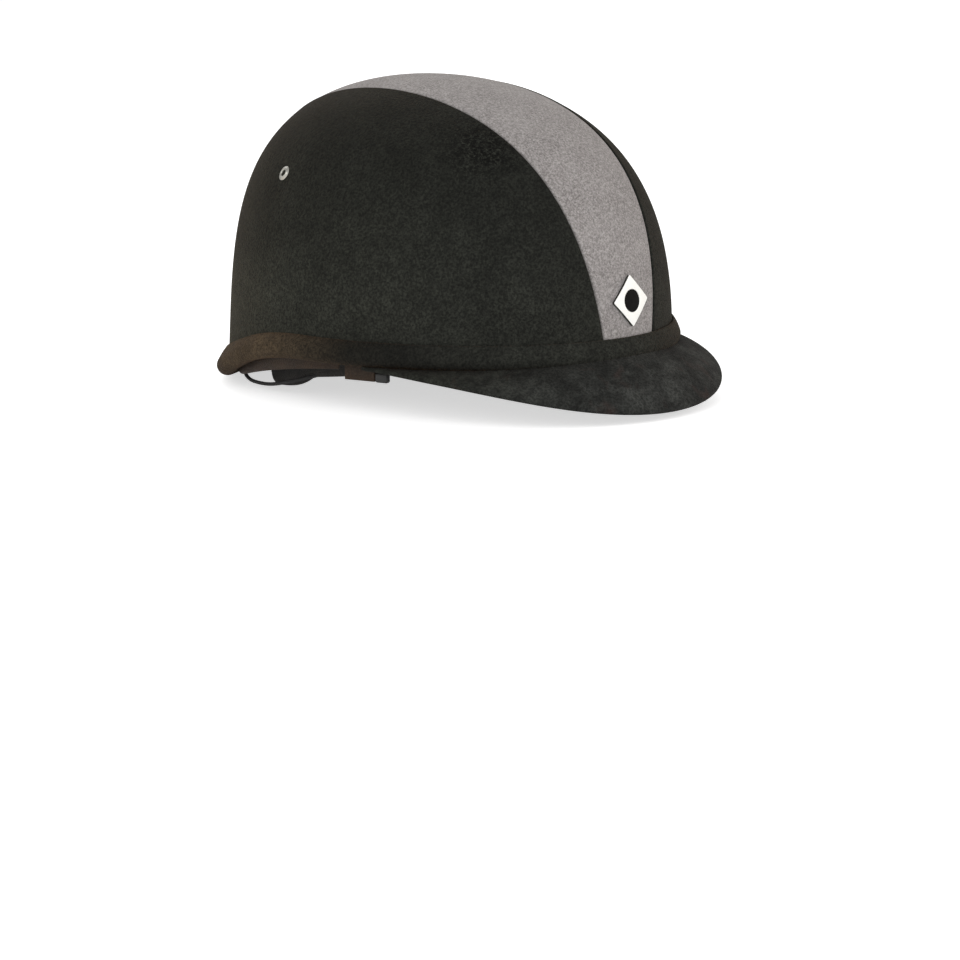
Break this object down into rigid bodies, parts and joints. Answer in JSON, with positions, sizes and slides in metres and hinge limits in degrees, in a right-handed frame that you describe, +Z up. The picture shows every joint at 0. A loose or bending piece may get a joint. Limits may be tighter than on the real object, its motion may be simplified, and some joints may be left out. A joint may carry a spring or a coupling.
{
  "type": "riding helmet",
  "caption": "Suede-covered riding helmet with a grey centre panel, rolled rim band, short peak, side vents, foam liner, comfort pads and a tucked-up chin harness.",
  "frame": {"origin": "middle of the head opening, in the level plane of the rim at the wearer's ears", "axes": "+Z up to the crown, -Y to the front and the peak, +X to the wearer's left"},
  "size_m": [0.229, 0.2953, 0.1682],
  "materials": {
    "suede": "matt microfibre suede",
    "grey_panel": "fine brushed grey fabric",
    "band_suede": "matt microfibre suede",
    "shell_plastic": "moulded",
    "liner_foam": "expanded polystyrene",
    "bead_rubber": "soft moulded strip",
    "peak_plastic": "flexible moulded",
    "bright_metal": "polished plate",
    "black_enamel": "gloss enamel",
    "dark_steel": "blackened steel",
    "pad_fabric": "soft knitted lining over foam",
    "hook_tape": "hook and loop tape",
    "webbing": "woven webbing",
    "black_plastic": "moulded",
    "harness_leather": "soft dark leather",
    "tan_leather": "soft brown leather",
    "lace_cord": "round braided lace"
  },
  "bodies": {
    "helmet": {"badge_inlay": "black_enamel", "badge_pins": "bright_metal", "badge_plate": "bright_metal", "centre_panel": "grey_panel", "crown_pad_patches": "hook_tape", "front_anchor_left": "webbing", "front_anchor_right": "webbing", "front_pad_patches": "hook_tape", "front_tab_end_left": "black_plastic", "front_tab_end_right": "black_plastic", "front_tab_left": "tan_leather", "front_tab_right": "tan_leather", "impact_liner": "liner_foam", "nape_lace": "lace_cord", "nape_lace_eyelets": "dark_steel", "nape_lacing": "lace_cord", "nape_wing_left": "harness_leather", "nape_wing_right": "harness_leather", "outer_shell": "shell_plastic", "peak_core": "peak_plastic", "peak_top_cover": "suede", "peak_under_cover": "suede", "rear_anchor_left": "webbing", "rear_anchor_right": "webbing", "rear_pad_patches": "hook_tape", "rim_band": "band_suede", "rim_bead": "bead_rubber", "rim_strip_left": "tan_leather", "rim_strip_right": "tan_leather", "side_cover_left": "suede", "side_cover_right": "suede", "strap_rivet_washers": "dark_steel", "strap_rivets": "dark_steel", "vent_eyelet_left": "bright_metal", "vent_eyelet_right": "bright_metal", "vent_washer_left": "bright_metal", "vent_washer_right": "bright_metal"},
    "strap_right": {"front_strap_right": "webbing", "rear_strap_right": "webbing", "strap_divider_right": "black_plastic"},
    "chin_right": {"chin_strap_right": "webbing", "buckle_socket": "black_plastic"},
    "strap_left": {"front_strap_left": "webbing", "rear_strap_left": "webbing", "strap_divider_left": "black_plastic"},
    "chin_left": {"chin_strap_left": "webbing", "buckle_clip": "black_plastic"},
    "slider": {"strap_slider": "black_plastic"},
    "prong_front": {"buckle_prong_front": "black_plastic"},
    "prong_rear": {"buckle_prong_rear": "black_plastic"},
    "crown_pad": {"crown_pad": "pad_fabric"},
    "front_pad": {"front_pad": "pad_fabric"},
    "rear_pad": {"rear_pad": "pad_fabric"}
  },
  "joints": [
    {"name": "strap_right_swing", "type": "hinge", "parent": "helmet", "child": "strap_right", "pos_m": [-0.066, 0.005, -0.0044], "axis": [0, 1, 0], "range_deg": [0, 180]},
    {"name": "strap_left_swing", "type": "hinge", "parent": "helmet", "child": "strap_left", "pos_m": [0.066, 0.005, -0.0044], "axis": [0, -1, 0], "range_deg": [0, 180]},
    {"name": "chin_right_fold", "type": "hinge", "parent": "strap_right", "child": "chin_right", "pos_m": [-0.066, 0.005, 0.0654], "axis": [0, -1, 0], "range_deg": [0, 115]},
    {"name": "chin_left_fold", "type": "hinge", "parent": "strap_left", "child": "chin_left", "pos_m": [0.066, 0.005, 0.0654], "axis": [0, 1, 0], "range_deg": [0, 115]},
    {"name": "strap_slider_slide", "type": "slide", "parent": "chin_left", "child": "slider", "axis": [0, 0, -1], "range_m": [0, 0.008]},
    {"name": "prong_front_squeeze", "type": "hinge", "parent": "chin_left", "child": "prong_front", "pos_m": [0.0608, -0.0025, 0.025], "axis": [1, 0, 0], "range_deg": [0, 5], "stiffness_Nm_per_rad": 0.3},
    {"name": "prong_rear_squeeze", "type": "hinge", "parent": "chin_left", "child": "prong_rear", "pos_m": [0.0608, 0.0125, 0.025], "axis": [-1, 0, 0], "range_deg": [0, 5], "stiffness_Nm_per_rad": 0.3},
    {"name": "crown_pad_pull", "type": "slide", "parent": "helmet", "child": "crown_pad", "axis": [0, 0, -1], "range_m": [0, 0.025]},
    {"name": "front_pad_pull", "type": "slide", "parent": "helmet", "child": "front_pad", "axis": [0, 1, 0], "range_m": [0, 0.01]},
    {"name": "rear_pad_pull", "type": "slide", "parent": "helmet", "child": "rear_pad", "axis": [0, -1, 0], "range_m": [0, 0.01]}
  ]
}
